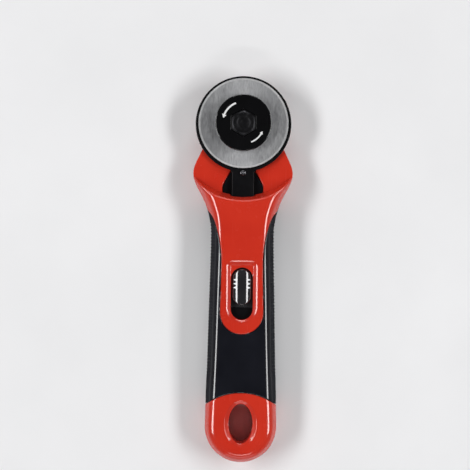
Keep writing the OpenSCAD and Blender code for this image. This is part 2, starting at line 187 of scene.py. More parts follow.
def cut(a, b, r):
    """Both a and b, with a round edge of radius r where they meet."""
    return np.minimum(np.maximum(a, b), -r) + np.hypot(np.maximum(a + r, 0), np.maximum(b + r, 0))


def stadium(x, y, w, low, high):
    """Distance to an upright slot with round ends."""
    r = w / 2
    return np.hypot(x, y - np.clip(y, low + r, high - r)) - r


def ellipse(x, y, a, b):
    """Distance to an ellipse, true near its edge."""
    p = np.hypot(x / a, y / b) + 1e-6
    q = np.hypot(x / a ** 2, y / b ** 2) + 1e-6
    return p * (p - 1) / q


def block(x, y, z, lo, hi, r):
    """A box between two corners, with round edges."""
    f, g, h = (np.maximum(a - v, v - b) for v, a, b in zip((x, y, z), lo, hi))
    return cut(cut(f, g, r), h, r)


# the outer form: how far each half's side leans in per millimetre, and the round of its shoulder
FRONT_LEAN, FRONT_ROUND, FACE_CROWN = 0.343, 3.4, 0.0022
REAR_LEAN, REAR_ROUND = 0.174, 5.6
TAIL_DROP, DROP_Y, DROP_RUN = 2.5, -100, 65
HEAD_RISE_Y, HEAD_RISE_RUN = -18, 30
# the front shell's upper edge is an arc about the axle that leans back as it rises
BROW_R, BROW_LEAN, BROW_SCALE, BROW_ROUND = 36, 0.3375, 0.947, 1.1

# a face with this slope shows the side lights to someone straight above it
MIRROR_SLOPE = 0.42
SLOT_W, SLOT_TOP, SLOT_END = 10.9, -72.2, -98.2
DISH_W, DISH_TOP, DISH_END, DISH_H, DISH_CORNER = 16, -68.5, -100.2, 1.3, 3.2
DISH_LIP, DISH_WALL = 0.8, 0.58
HOLE_Y, HOLE_A, HOLE_B = -150.2, 6, 9.9
LEAD_A, LEAD_B, LEAD_H, LEAD_SLOPE = 2.2, 1.8, 1.6, 0.82

# the rubber, its ends, the groove between it and the shell, and the fine ribs on its sides
GRIP_T, GRIP_GROOVE, GRIP_REST = 1.6, 0.08, 0.05
TAIL_ARC_Y, TAIL_ARC_R = -163.2, 28.5
BACK_ARC_Y, BACK_ARC_R = -5, 40
RIB_PITCH, RIB_H = 1.6, 0.32
RIB_TOP, RIB_TOP_FADE, RIB_END, RIB_END_FADE = -48, 3, -128, 4
RIB_Z, RIB_REACH, RIB_REACH_FADE, RIB_INSET, RIB_INSET_FADE = PART_Z + 0.3, 5.8, 2.2, 3.2, 0.8

# the hollow inside the handle, and what stands in it
CAVITY_INSET, CAVITY_TOP, CAVITY_END, CAVITY_WALL = 5.2, -44, -120, 3.4
MOUTH_HALF_W, MOUTH_Y, MOUTH_H = 6, -52, 2.6
SCREWS = [(9.6, -50), (-9.6, -50), (0, -112), (0, -130)]
FRONT_BOSS_R, REAR_BOSS_R, BOSS_ROOT = 3, 4, 3
WELL_R, WELL_H, SHANK_R = 3, 6, 1.6
CHANNEL_DEPTH = 1.8
BOLT_HOLE_R, BUSH_SEAT_R, BUSH_SEAT_DEPTH = 2.6, 4.02, 2.05

# the halves stay this far from the parting plane, and their edges are eased by these radii
FRONT_SEAM, REAR_SEAM = 0.05, 0.02
FINE, EASED, SOFT = 0.25, 0.3, 0.35


def front_height(y):
    return FRONT_H - TAIL_DROP * blend((DROP_Y - y) / DROP_RUN)


def rear_height(y):
    return PLATE_T + (REAR_H - PLATE_T) * blend((HEAD_RISE_Y - y) / HEAD_RISE_RUN)


def dish(x, y):
    """Depth of the dish round the thumb slot: a gentle lip, then a wall to a flat bottom. Its outline
    is square-shouldered at the top and round at the bottom."""
    middle, half = (DISH_TOP + DISH_END) / 2, (DISH_TOP - DISH_END) / 2
    r = np.where(y > middle, DISH_CORNER, DISH_W / 2)
    u, v = np.abs(x) - DISH_W / 2 + r, np.abs(y - middle) - half + r
    inset = r - np.hypot(np.maximum(u, 0), np.maximum(v, 0)) - np.minimum(np.maximum(u, v), 0)
    return (MIRROR_SLOPE * np.clip(inset, 0, DISH_LIP)
            + np.clip(DISH_WALL * (inset - DISH_LIP), 0, DISH_H - MIRROR_SLOPE * DISH_LIP))


def hanging_hole(x, y):
    return ellipse(x, y - HOLE_Y, HOLE_A, HOLE_B)


def hole_lead(x, y):
    """Depth of the chamfer round the hanging hole."""
    return np.clip(-LEAD_SLOPE * ellipse(x, y - HOLE_Y, HOLE_A + LEAD_A, HOLE_B + LEAD_B), 0, LEAD_H)


def front_body(x, y, z, d):
    """The front half's outer form: a crowned face, a round shoulder and a leaning side."""
    up = (z - PART_Z) * FRONT_H / front_height(y)
    face = up - FRONT_H + FACE_CROWN * x * x + dish(x, y) + hole_lead(x, y)
    side = (d + FRONT_LEAN * up) / math.hypot(1, FRONT_LEAN)
    return cut(side, face, FRONT_ROUND)


def rear_body(x, y, z, d):
    """The rear half's outer form: a flat back that rises to the head plate, and a rounder shoulder."""
    down = (PART_Z - z) * REAR_H / rear_height(y)
    face = down - REAR_H + hole_lead(x, y)
    side = (d + REAR_LEAN * down) / math.hypot(1, REAR_LEAN)
    return cut(side, face, REAR_ROUND)


def front_grip_area(x, y):
    return both(-tongue_d(x, y), TAIL_ARC_R - np.hypot(x, y - TAIL_ARC_Y), y - TONGUE_TOP)


def rear_grip_area(x, y):
    return both(BACK_ARC_R - np.hypot(x, y - BACK_ARC_Y), TAIL_ARC_R - np.hypot(x, y - TAIL_ARC_Y))


def under_grip(body, area):
    """The shell's form: the whole body where it shows, and set back where the rubber covers it."""
    return either(cut(body, GRIP_GROOVE - area, EASED), body + GRIP_T + GRIP_REST)


def over_body(body, area, y, z, d):
    """The rubber: a skin of even thickness within its area, ribbed on the handle's sides."""
    skin = cut(body + ribs(y, z, d), area + GRIP_GROOVE, SOFT)
    return both(skin, -(body + GRIP_T))


def ribs(y, z, d):
    """Depth of the fine ribs across the sides of the rubber, faded out at the ends."""
    wave = 0.5 - 0.5 * np.cos(2 * math.pi * y / RIB_PITCH)
    along = blend((RIB_TOP - y) / RIB_TOP_FADE) * blend((y - RIB_END) / RIB_END_FADE)
    across = blend((RIB_REACH - np.abs(z - RIB_Z)) / RIB_REACH_FADE)
    return RIB_H * wave * along * across * blend((d + RIB_INSET) / RIB_INSET_FADE)


def cavity(y, d):
    """The hollow inside the handle, seen from the front."""
    return both(d + CAVITY_INSET, y - CAVITY_TOP, CAVITY_END - y)


def screw_wells(x, y, z):
    """The holes for the screws' heads and shanks, open at the back."""
    wells = []
    for sx, sy in SCREWS:
        r = np.hypot(x - sx, y - sy)
        wells += [both(r - WELL_R, z - WELL_H), r - SHANK_R]
    return either(*wells)


def front_shell(x, y, z):
    d = outline_d(x, y)
    top = PART_Z + FRONT_H
    f = under_grip(front_body(x, y, z, d), front_grip_area(x, y))
    f = both(f, -both(cavity(y, d), z - (top - CAVITY_WALL)))
    for sx, sy in SCREWS:
        f = either(f, both(np.hypot(x - sx, y - sy) - FRONT_BOSS_R, z - (top - BOSS_ROOT)))
    brow = BROW_SCALE * (BROW_R + BROW_LEAN * (z - PART_Z) - np.hypot(x, y))
    f = cut(f, brow, BROW_ROUND)
    f = cut(f, -stadium(x, y, SLOT_W, SLOT_END, SLOT_TOP), FINE)
    f = cut(f, -hanging_hole(x, y), EASED)
    mouth = both(np.abs(x) - MOUTH_HALF_W, MOUTH_Y - y, z - (PART_Z + MOUTH_H))
    f = cut(f, -mouth, FINE)
    return cut(f, PART_Z + FRONT_SEAM - z, FINE)


def front_grip(x, y, z):
    d = outline_d(x, y)
    f = over_body(front_body(x, y, z, d), front_grip_area(x, y), y, z, d)
    return cut(f, PART_Z + FRONT_SEAM - z, FINE)


def rear_shell(x, y, z):
    d = outline_d(x, y)
    axle = np.hypot(x, y)
    f = under_grip(rear_body(x, y, z, d), rear_grip_area(x, y))
    f = both(f, -both(cavity(y, d), CAVITY_WALL - z))
    for sx, sy in SCREWS:
        f = either(f, both(np.hypot(x - sx, y - sy) - REAR_BOSS_R, BOSS_ROOT - z, z - PART_Z))
    f = cut(f, -both(channel_d(x, y), PART_Z - CHANNEL_DEPTH - z), EASED)
    f = cut(f, BOLT_HOLE_R - axle, 0.2)
    f = both(f, -both(axle - BUSH_SEAT_R, PART_Z - BUSH_SEAT_DEPTH - z))
    f = cut(f, -screw_wells(x, y, z), EASED)
    f = cut(f, -hanging_hole(x, y), EASED)
    return cut(f, z - PART_Z + REAR_SEAM, EASED)


def rear_grip(x, y, z):
    d = outline_d(x, y)
    f = over_body(rear_body(x, y, z, d), rear_grip_area(x, y), y, z, d)
    f = cut(f, -screw_wells(x, y, z), EASED)
    return cut(f, z - PART_Z + REAR_SEAM, EASED)


button_lo, button_hi = span("thumb_button")
BUTTON_Y = (button_lo[1] + button_hi[1]) / 2
BUTTON_FOOT = button_lo[2]
BUTTON_TOP = PART_Z + FRONT_H + 0.5
FOOT_HALF_W, FOOT_HALF_L, FOOT_T, FOOT_ROUND = 6.5, 10.3, 1.6, 0.2
SLIDER_W, SLIDER_HALF_L, SLIDER_DRAFT, SLIDER_ROUND, SLIDER_LIFT = 9.6, 9, 0.03, 0.5, 0.4
CROWN, LONG_CROWN, CROWN_Y = 0.082, 0.0022, 1
# three ribs at each edge keep the slope that the crown has at THUMB_RIB_X, so they stand proud of it
THUMB_RIB_X, THUMB_RIB_TOP, THUMB_RIB_PITCH, THUMB_RIB_HALF, THUMB_RIB_RAMP = 2.7, 3.65, 1.95, 0.62, 0.34
SPRING_WELL_R, SPRING_WELL_H = 3.9, 0.6


def thumb_button(x, y, z):
    """A crowned slider on a flat foot, hollow underneath for its spring."""
    v = y - BUTTON_Y
    foot = block(x, v, z, (-FOOT_HALF_W, -FOOT_HALF_L, BUTTON_FOOT),
                 (FOOT_HALF_W, FOOT_HALF_L, BUTTON_FOOT + FOOT_T), FOOT_ROUND)
    rib = either(*(np.abs(v - THUMB_RIB_TOP + THUMB_RIB_PITCH * i) for i in range(3)))
    proud = blend((THUMB_RIB_HALF - rib) / THUMB_RIB_RAMP) * np.maximum(np.abs(x) - THUMB_RIB_X, 0) ** 2
    top = BUTTON_TOP - LONG_CROWN * (v - CROWN_Y) ** 2 - CROWN * x ** 2 + CROWN * proud
    sides = stadium(x, v, SLIDER_W, -SLIDER_HALF_L, SLIDER_HALF_L) + SLIDER_DRAFT * (z - BUTTON_FOOT)
    slider = both(cut(sides, z - top, SLIDER_ROUND), BUTTON_FOOT + SLIDER_LIFT - z)
    well = both(np.hypot(x, v) - SPRING_WELL_R, z - BUTTON_FOOT - SPRING_WELL_H)
    return both(either(slider, foot), -well)


# ------------------------------------------------------------------ meshing


def cell_vertices(value):
    """The grid cells that the surface crosses, and in each the mean of its crossings, 0 to 1 a side."""
    corner = {c: value[tuple(slice(o, o + n - 1) for o, n in zip(c, value.shape))]
              for c in itertools.product((0, 1), repeat=3)}
    inside = sum((v < 0).astype(np.int8) for v in corner.values())
    cells = np.argwhere((inside > 0) & (inside < 8))
    at = tuple(cells.T)
    total, hits = np.zeros((len(cells), 3)), np.zeros(len(cells))
    for a in corner:
        for axis in range(3):
            if a[axis]:
                continue
            b = tuple(1 if q == axis else a[q] for q in range(3))
            va, vb = corner[a][at], corner[b][at]
            crossing = (va < 0) != (vb < 0)
            point = np.tile(np.array(a, dtype=float), (len(cells), 1))
            point[:, axis] = np.where(crossing, va / np.where(crossing, va - vb, 1), 0)
            total += point * crossing[:, None]
            hits += crossing
    return cells, total / hits[:, None]


def net_faces(inside, index):
    """A quad round each grid edge that the surface crosses, wound to face outward."""
    faces = []
    for axis in range(3):
        u, v = (axis + 1) % 3, (axis + 2) % 3
        first, second = [slice(None)] * 3, [slice(None)] * 3
        first[axis], second[axis] = slice(0, -1), slice(1, None)
        edges = np.argwhere(inside[tuple(first)] != inside[tuple(second)])
        quad = []
        for du, dv in ((1, 1), (0, 1), (0, 0), (1, 0)):
            cell = edges.copy()
            cell[:, u] -= du
            cell[:, v] -= dv
            quad.append(index[tuple(cell.T)])
        quad = np.stack(quad, 1)
        starts_out = ~inside[tuple(edges.T)]
        quad[starts_out] = quad[starts_out][:, ::-1]
        faces.append(quad)
    return np.concatenate(faces)


def settle(points, field, cell):
    """The points moved onto the surface, in two steps along the field's slope."""
    nudge = 0.02
    for _ in range(2):
        slope = np.stack([(field(*(points + way).T) - field(*(points - way).T)) / (2 * nudge)
                          for way in nudge * np.eye(3)], 1)
        steepness = np.maximum((slope ** 2).sum(1), 0.05)
        move = -(field(*points.T) / steepness)[:, None] * slope
        length = np.linalg.norm(move, axis=1)
        points = points + move * np.minimum(1, 0.5 * cell / np.maximum(length, 1e-9))[:, None]
    return points


def spread(points, faces):
    """The points moved halfway to the mean of their neighbours."""
    near, ways = np.zeros_like(points), np.zeros(len(points))
    for a in range(4):
        b = (a + 1) % 4
        for p, q in ((a, b), (b, a)):
            np.add.at(near, faces[:, p], points[faces[:, q]])
            np.add.at(ways, faces[:, p], 1)
    return 0.5 * points + 0.5 * near / ways[:, None]


def surface_net(name, field, node, cell):
    """A closed quad mesh of the field's zero surface within a node's box: a vertex in each grid cell
    that the surface crosses, moved onto it and spread evenly over it."""
    lo, hi = span(node)
    lo, hi = lo - 1.5 * cell, hi + 1.5 * cell
    counts = np.ceil((hi - lo) / cell).astype(int) + 1
    xs, ys, zs = (start + cell * np.arange(count) for start, count in zip(lo, counts))
    y, z = np.meshgrid(ys, zs, indexing="ij")
    value = np.stack([field(np.full(y.shape, x), y, z) for x in xs])
    cells, offset = cell_vertices(value)
    index = np.full(counts - 1, -1)
    index[tuple(cells.T)] = np.arange(len(cells))
    faces = net_faces(value < 0, index)
    points = settle(lo + cell * (cells + offset), field, cell)
    for _ in range(3):
        points = settle(spread(points, faces), field, cell)
    mesh = bpy.data.meshes.new(name)
    mesh.from_pydata(to_frame(points).tolist(), [], faces.tolist())
    return place(name, mesh, 40)


def to_frame(points):
    """Points in metres in the part's own frame."""
    p = np.array(points, dtype=float)
    p[:, 1] += AXLE_Y
    return p * MM


def place(name, mesh, angle):
    """A new object from a mesh, shaded smooth but for the edges that turn more than the angle."""
    mesh.shade_smooth()
    mesh.set_sharp_from_angle(angle=math.radians(angle))
    obj = bpy.data.objects.new(name, mesh)
    bpy.context.scene.collection.objects.link(obj)
    return obj


def place_bmesh(name, bm, angle):
    """The same from a bmesh, whose faces are turned outward first."""
    bmesh.ops.recalc_face_normals(bm, faces=bm.faces)
    mesh = bpy.data.meshes.new(name)
    bm.to_mesh(mesh)
    bm.free()
    return place(name, mesh, angle)


def solid(name, points, faces, angle):
    """A closed form from points in millimetres and faces that count them."""
    bm = bmesh.new()
    verts = [bm.verts.new(p) for p in to_frame(points)]
    for face in faces:
        bm.faces.new([verts[i] for i in face])
    return place_bmesh(name, bm, angle)


def turned(name, rings, angle=35, around=240, centre=(0, 0), ends=False):
    """A form turned round a vertical axis. A ring is (radius, z), each a number or a function of the
    angle. The last ring runs back to the first, or with ends both are filled."""
    theta = 2 * math.pi * np.arange(around) / around
    points, faces = [], []
    for ring in rings:
        r, z = (v(theta) if callable(v) else np.full(around, float(v)) for v in ring)
        points += list(np.stack([centre[0] + r * np.cos(theta), centre[1] + r * np.sin(theta), z], 1))
    n = len(rings)
    for k in range(n - 1 if ends else n):
        a, b = k * around, (k + 1) % n * around
        for i in range(around):
            j = (i + 1) % around
            faces.append((a + i, a + j, b + j, b + i))
    for first in (0, (n - 1) * around) if ends else ():
        hub = len(points)
        points.append(np.array([*centre, points[first][2]]))
        faces += [(hub, first + i, first + (i + 1) % around) for i in range(around)]
    return solid(name, points, faces, angle)


def vertex_ring(bm, loop, z):
    return [bm.verts.new(v) for v in to_frame([(*p, z) for p in loop])]


def walls(bm, rings):
    """Faces from each ring of vertices to the next."""
    for upper, lower in zip(rings, rings[1:]):
        for i in range(len(upper)):
            bm.faces.new((upper[i - 1], upper[i], lower[i], lower[i - 1]))


def fill(bm, rings):
    """A flat face over the area that the rings of vertices enclose."""
    edges = []
    for ring in rings:
        for pair in zip(ring, ring[1:] + ring[:1]):
            edges.append(bm.edges.get(pair) or bm.edges.new(pair))
    bmesh.ops.triangle_fill(bm, use_beauty=True, use_dissolve=False, edges=edges)


def plate(name, outline, hole, low, high, edge, steps=4):
    """A flat plate with a hole and rounded edges. The outline runs anticlockwise, the hole clockwise."""
    bm = bmesh.new()
    quarter = [edge * (1 - polar(1, 90 * i / steps)) for i in range(steps + 1)]
    rows = [(b, high - a) for a, b in quarter] + [(a, low + b) for a, b in quarter]
    rims = []
    for loop in (outline, hole):
        loop = np.array(loop)
        along = np.roll(loop, -1, 0) - np.roll(loop, 1, 0)
        along /= np.maximum(np.linalg.norm(along, axis=1), 1e-9)[:, None]
        outward = np.stack([along[:, 1], -along[:, 0]], 1)
        rings = [vertex_ring(bm, loop - inset * outward, z) for inset, z in rows]
        walls(bm, rings)
        rims.append((rings[0], rings[-1]))
    for face_rings in zip(*rims):
        fill(bm, face_rings)
    return place_bmesh(name, bm, 35)


# ------------------------------------------------------------------ materials


class Shader:
    """A Principled material whose socket values are set by name, with helpers for its nodes."""

    def __init__(self, name, **sockets):
        self.material = bpy.data.materials.new(name)
        self.material.use_nodes = True
        self.tree = self.material.node_tree
        self.surface = self.tree.nodes["Principled BSDF"]
        self.place = self.add("ShaderNodeTexCoord", {}).outputs
        for key, value in sockets.items():
            self.surface.inputs[key.replace("_", " ")].default_value = value

    def add(self, kind, sockets, **settings):
        """A node, with its settings and with a value or another node's output for each socket."""
        node = self.tree.nodes.new(kind)
        for key, value in settings.items():
            setattr(node, key, value)
        for key, value in sockets.items():
            if isinstance(value, bpy.types.NodeSocket):
                self.tree.links.new(value, node.inputs[key])
            else:
                node.inputs[key].default_value = value
        return node

    def set(self, socket, value):
        self.tree.links.new(value, self.surface.inputs[socket])

    def scaled(self, scale, rotation=(0, 0, 0)):
        return self.add("ShaderNodeMapping", {"Vector": self.place["Object"], "Scale": scale,
                                              "Rotation": rotation}).outputs[0]

    def noise(self, scale, detail, rough=0.5, vector=None):
        return self.add("ShaderNodeTexNoise", {"Vector": vector or self.place["Object"], "Scale": scale,
                                               "Detail": detail, "Roughness": rough}).outputs["Fac"]

    def remap(self, value, a, b, c, d):
        return self.add("ShaderNodeMapRange", {"Value": value, "From Min": a, "From Max": b,
                                               "To Min": c, "To Max": d}).outputs[0]

    def math(self, how, a, b):
        return self.add("ShaderNodeMath", {0: a, 1: b}, operation=how).outputs[0]

    def drift(self, scale, detail, low=0, high=1, rough=0.5, ends=(0.3, 0.7)):
        """Noise whose usual range, between the ends, is spread from low to high."""
        return self.remap(self.noise(scale, detail, rough), *ends, low, high)

    def colour(self, factor, dark, light):
        mixed = self.add("ShaderNodeMix", {0: factor, 6: dark, 7: light}, data_type="RGBA")
        self.set("Base Color", mixed.outputs[2])

    def hairlines(self, *runs):
        """Sparse scratches: the peaks of noise pulled out along a direction. A run is (scale, angle)."""
        lines = [self.remap(self.noise(scale, 2, 0.6, self.scaled((1, 0.03, 1), (0, 0, angle))),
                            0.66, 0.72, 0, 1) for scale, angle in runs]
        return self.math("MAXIMUM", *lines)

    def bump(self, *layers):
        """Layers of (height, strength, distance in millimetres)."""
        normal = {}
        for height, strength, distance in layers:
            node = self.add("ShaderNodeBump", {"Height": height, "Strength": strength,
                                               "Distance": distance * MM, **normal})
            normal = {"Normal": node.outputs[0]}
        self.set("Normal", normal["Normal"])


def rgb(r, g, b):
    return (r, g, b, 1.0)


def red_plastic():
    s = Shader("red_plastic", Specular_IOR_Level=0.15, Coat_Weight=0.55, Coat_Roughness=0.08, Coat_IOR=1.8)
    s.colour(s.drift(45, 4), rgb(0.54, 0.024, 0.011), rgb(0.61, 0.033, 0.015))
    hair = s.hairlines((900, 0.4), (1100, -0.9))
    wear = s.drift(160, 5, 0.20, 0.31, 0.6, (0.35, 0.75))
    s.set("Roughness", s.math("ADD", wear, s.math("MULTIPLY", hair, 0.14)))
    s.bump((s.noise(900, 2), 0.10, 0.02), (hair, 0.10, 0.01))
    return s.material


def grip_rubber():
    """Glossy on the faces, matt on the ribbed sides, where the mould was textured."""
    s = Shader("grip_rubber", Specular_IOR_Level=0.03, Coat_Roughness=0.11, Coat_IOR=2.0)
    facing = s.add("ShaderNodeSeparateXYZ", {"Vector": s.place["Normal"]}).outputs["Z"]
    s.set("Coat Weight", s.remap(s.math("ABSOLUTE", facing, 0), 0.45, 0.80, 0.04, 0.40))
    s.colour(s.drift(70, 5), rgb(0.0040, 0.0044, 0.0075), rgb(0.0080, 0.0086, 0.0130))
    s.set("Roughness", s.drift(260, 4, 0.48, 0.60, 0.6))
    s.bump((s.noise(4200, 3, 0.65), 0.30, 0.02), (s.noise(500, 3), 0.10, 0.04))
    return s.material


def blade_steel(name, low, high, rough, stretch, depth):
    """Ground steel, with fine lines along one direction."""
    s = Shader(name, Metallic=1.0, Anisotropic=0.35)
    lines = s.noise(2600, 4, 0.7, s.scaled(stretch))
    cloud = s.noise(110, 4, 0.6, s.scaled((1, 0.45, 1)))
    s.colour(s.remap(s.math("MULTIPLY", lines, cloud), 0.12, 0.40, 0, 1), low, high)
    s.set("Roughness", s.remap(lines, 0.3, 0.7, rough - 0.05, rough + 0.07))
    s.bump((lines, depth, 0.012))
    return s.material


def steel(name, base, rough):
    s = Shader(name, Metallic=1.0)
    s.colour(s.drift(300, 5, rough=0.6), rgb(*[c * 0.82 for c in base]), rgb(*base))
    s.set("Roughness", s.drift(900, 4, rough - 0.07, rough + 0.1, 0.65))
    s.bump((s.noise(2600, 3, 0.6), 0.15, 0.01))
    return s.material


def black_gloss(name, dark, light):
    s = Shader(name, Specular_IOR_Level=0.4, Coat_Weight=1.0, Coat_Roughness=0.05)
    s.colour(s.drift(60, 4), dark, light)
    hair = s.hairlines((1000, 0.7), (1300, -0.3))
    s.set("Roughness", s.math("ADD", s.drift(200, 4, 0.10, 0.17), s.math("MULTIPLY", hair, 0.10)))
    s.bump((s.noise(1000, 2), 0.08, 0.02), (hair, 0.10, 0.008))
    return s.material


def black_satin():
    s = Shader("black_plastic", Specular_IOR_Level=0.16)
    s.colour(s.drift(80, 4), rgb(0.0025, 0.0025, 0.0032), rgb(0.0050, 0.0050, 0.0060))
    s.set("Roughness", s.drift(400, 4, 0.28, 0.40, 0.6))
    s.bump((s.noise(3200, 3, 0.6), 0.20, 0.02))
    return s.material


def black_steel():
    s = Shader("black_steel", Metallic=0.85)
    s.colour(s.drift(700, 5, rough=0.7, ends=(0.55, 0.75)), rgb(0.018, 0.018, 0.020), rgb(0.07, 0.07, 0.075))
    s.set("Roughness", s.drift(1200, 4, 0.30, 0.46))
    s.bump((s.noise(2400, 4, 0.65), 0.3, 0.02))
    return s.material


def white_print():
    s = Shader("white_print", Specular_IOR_Level=0.4)
    s.colour(s.drift(2500, 3, rough=0.7, ends=(0.4, 0.7)), rgb(0.72, 0.72, 0.72), rgb(0.82, 0.82, 0.82))
    s.set("Roughness", s.drift(900, 3, 0.35, 0.55))
    s.bump((s.noise(3000, 3), 0.2, 0.01))
    return s.material


def floor_paper():
    s = Shader("floor_paper", Specular_IOR_Level=0.25)
    s.colour(s.drift(14, 4), rgb(0.80, 0.80, 0.81), rgb(0.84, 0.84, 0.85))
    s.set("Roughness", s.drift(60, 3, 0.7, 0.85))
    s.bump((s.noise(700, 4), 0.05, 0.1))
    return s.material


RED = red_plastic()
RUBBER = grip_rubber()
BLADE = blade_steel("blade_steel", rgb(0.50, 0.505, 0.52), rgb(0.78, 0.785, 0.80), 0.43, (1, 0.16, 1), 0.2)
# the bevel is a finer-ground band with its own lines and a little less roughness, and its base colour is made
# far paler than the blade's: a painted highlight for the bright ring round the edge
BEVEL_PAINTED_HIGHLIGHT = blade_steel("blade_bevel_painted_highlight", rgb(0.90, 0.90, 0.91), rgb(0.98, 0.98, 0.99), 0.40, (0.5, 0.5, 1), 0.04)
PLATED = steel("plated_steel", (0.55, 0.55, 0.56), 0.30)
SPRING = steel("spring_steel", (0.48, 0.48, 0.50), 0.24)
GLOSS = black_gloss("black_gloss", rgb(0.0012, 0.0012, 0.0016), rgb(0.0026, 0.0026, 0.0032))
BUTTON = black_gloss("button_gloss", rgb(0.016, 0.016, 0.018), rgb(0.026, 0.026, 0.028))
SATIN = black_satin()
BLACK_STEEL = black_steel()
BRASS = steel("brass", (0.72, 0.52, 0.22), 0.28)
RIVET = steel("rivet_steel", (0.11, 0.11, 0.12), 0.20)
PRINT = white_print()


def finish(obj, material, body, slot, *nodes):
    """Give a new piece its material and its body, and hide the nodes that it stands for. The slot is not
    used.
    """
    obj.data.materials.append(material)
    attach(obj, body)
    if nodes:
        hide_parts(*nodes)
    return obj


# ------------------------------------------------------------------ handle and button

CELL = 0.30
BUTTON_CELL = 0.2
for node, name, field, material, slot in (
        ("front_shell", "front_shell_body", front_shell, RED, "red_plastic"),
        ("front_grip", "front_grip_rubber", front_grip, RUBBER, "grip_rubber"),
        ("rear_shell", "rear_shell_body", rear_shell, RED, "red_plastic"),
        ("rear_grip", "rear_grip_rubber", rear_grip, RUBBER, "grip_rubber")):
    finish(surface_net(name, field, node, CELL), material, "handle", slot, node)
finish(surface_net("thumb_slider", thumb_button, "thumb_button", BUTTON_CELL),
       BUTTON, "button", "black_gloss", "thumb_button")

# ------------------------------------------------------------------ blade and guard

lo, hi = span("blade")
middle_z, half_t = (lo[2] + hi[2]) / 2, (hi[2] - lo[2]) / 2
BORE_R, BEVEL_R = 4.0, BLADE_R - 1.0
# stations of one face, each a radius and a height from the blade's middle plane
half = [(BORE_R, half_t - 0.02), (BORE_R + 0.02, half_t), (BEVEL_R - 0.05, half_t),
        (BEVEL_R + 0.05, half_t - 0.006), (BLADE_R - 0.02, 0.025)]
blade_rings = ([(r, middle_z - h) for r, h in half] + [(BLADE_R, middle_z)]
               + [(r, middle_z + h) for r, h in reversed(half)])
blade = finish(turned("round_blade", blade_rings, angle=4, around=256),
               BLADE, "blade_disc", "blade_steel", "blade")
# faces beyond the bevel's radius take the paler steel, whose base colour is a painted highlight
blade.data.materials.append(BEVEL_PAINTED_HIGHLIGHT)
for face in blade.data.polygons:
    if math.hypot(face.center.x, face.center.y - AXLE_Y * MM) > (BEVEL_R + 0.02) * MM:
        face.material_index = 1

lo, hi = span("guard")
GUARD_R = (hi[0] - lo[0]) / 2
GUARD_Y = hi[1] - GUARD_R
GUARD_LIFT = 0.05
NECK_HALF_W, NECK_END, FILLET_R = 5.5, -45.6, 2.0
# the fillet's centre, and the angle on the disc's rim where the fillet runs into it
fillet_y = GUARD_Y - math.sqrt((GUARD_R + FILLET_R) ** 2 - (NECK_HALF_W + FILLET_R) ** 2)
meet = math.degrees(math.atan2(fillet_y - GUARD_Y, NECK_HALF_W + FILLET_R))
neck_edge = [(NECK_HALF_W, y) for y in (NECK_END, *np.linspace(NECK_END + 1.6, fillet_y - 0.6, 12))]
guard_edge = (neck_edge + arc(NECK_HALF_W + FILLET_R, fillet_y, FILLET_R, 180, 180 + meet, 8)
              + arc(0, GUARD_Y, GUARD_R, meet, 90, 120)[1:])
# the slot runs far enough up for the bush to stay clear when the guard is drawn right back
AXLE_SLOT_R = 4.2
slot_up = TRAVEL["guard_slide"] + 0.2
axle_slot = arc(0, 0, AXLE_SLOT_R, 0, -180, 24) + arc(0, slot_up, AXLE_SLOT_R, 180, 0, 24)
finish(plate("guard_plate", closed(guard_edge), axle_slot, PART_Z + GUARD_LIFT, hi[2], 0.35),
       SATIN, "guard_slider", "black_plastic", "guard")

lo, hi = span("guard_rivet")
RIVET_Y = (lo[1] + hi[1]) / 2
RIVET_SHANK_R = 1.0
# stations of the rivet's dimpled head, each a radius and a depth from its top
rivet_head = [(0.25, 0.22), (0.45, 0.16), (0.62, 0.02), (0.85, 0), (1.15, 0.07), (1.42, 0.24),
              (1.58, 0.45), (1.6, 0.6), (RIVET_SHANK_R, 0.6)]
rivet_rings = [(r, hi[2] - depth) for r, depth in rivet_head] + [(RIVET_SHANK_R, lo[2])]
finish(turned("guard_rivet_pin", rivet_rings, angle=50, around=64, centre=(0, RIVET_Y), ends=True),
       RIVET, "guard_slider", "black_steel", "guard_rivet")

# ------------------------------------------------------------------ cap, bolt and nut


def hexagon(flats, eased=0.0):
    """Radius by angle of a hexagon with flats to the left and right, its corners eased by a length."""
    def radius(theta):
        t = np.mod(theta + math.pi / 6, math.pi / 3) - math.pi / 6
        return np.minimum(flats / 2 / np.cos(t), flats / 2 / math.cos(math.pi / 6) - eased)
    return radius


lo, hi = span("blade_cap")
CAP_R, CAP_TOP = (hi[0] - lo[0]) / 2, hi[2]
CAP_BORE_R, CAP_RIM, CAP_FLOOR = 2.55, 0.7, lo[2] + 1.1
# stations of the hexagonal well in the cap: flats, eased corners, and a depth from the cap's top
cap_well = [(13.1, 0.25, 0.03), (12.7, 0.2, 0.1), (12.45, 0.15, 0.3), (12.4, 0.15, 0.5),
            (11.9, 0, 0.52), (11.75, 0, 0.62)]
cap_rings = ([(CAP_BORE_R, lo[2]), (CAP_R - 0.3, lo[2]), (CAP_R, lo[2] + 0.3)]
             + arc(CAP_R - CAP_RIM, CAP_TOP - CAP_RIM, CAP_RIM, 0, 90, 10)
             + [(9.5, CAP_TOP - 0.02)]
             + [(hexagon(flats, eased), CAP_TOP - depth) for flats, eased, depth in cap_well]
             + [(hexagon(11.75), CAP_FLOOR), (CAP_BORE_R, CAP_FLOOR)])
finish(turned("blade_cap_disc", cap_rings), GLOSS, "handle", "black_gloss", "blade_cap")

# the arrows' radius, and the size of a head as a multiple of the arrow's width
ARROW_R, HEAD_LENGTH, HEAD_HALF_W = 10.4, 2.1, 1.25
ARROW_PROUD, ARROW_SUNK = 0.012, 0.03


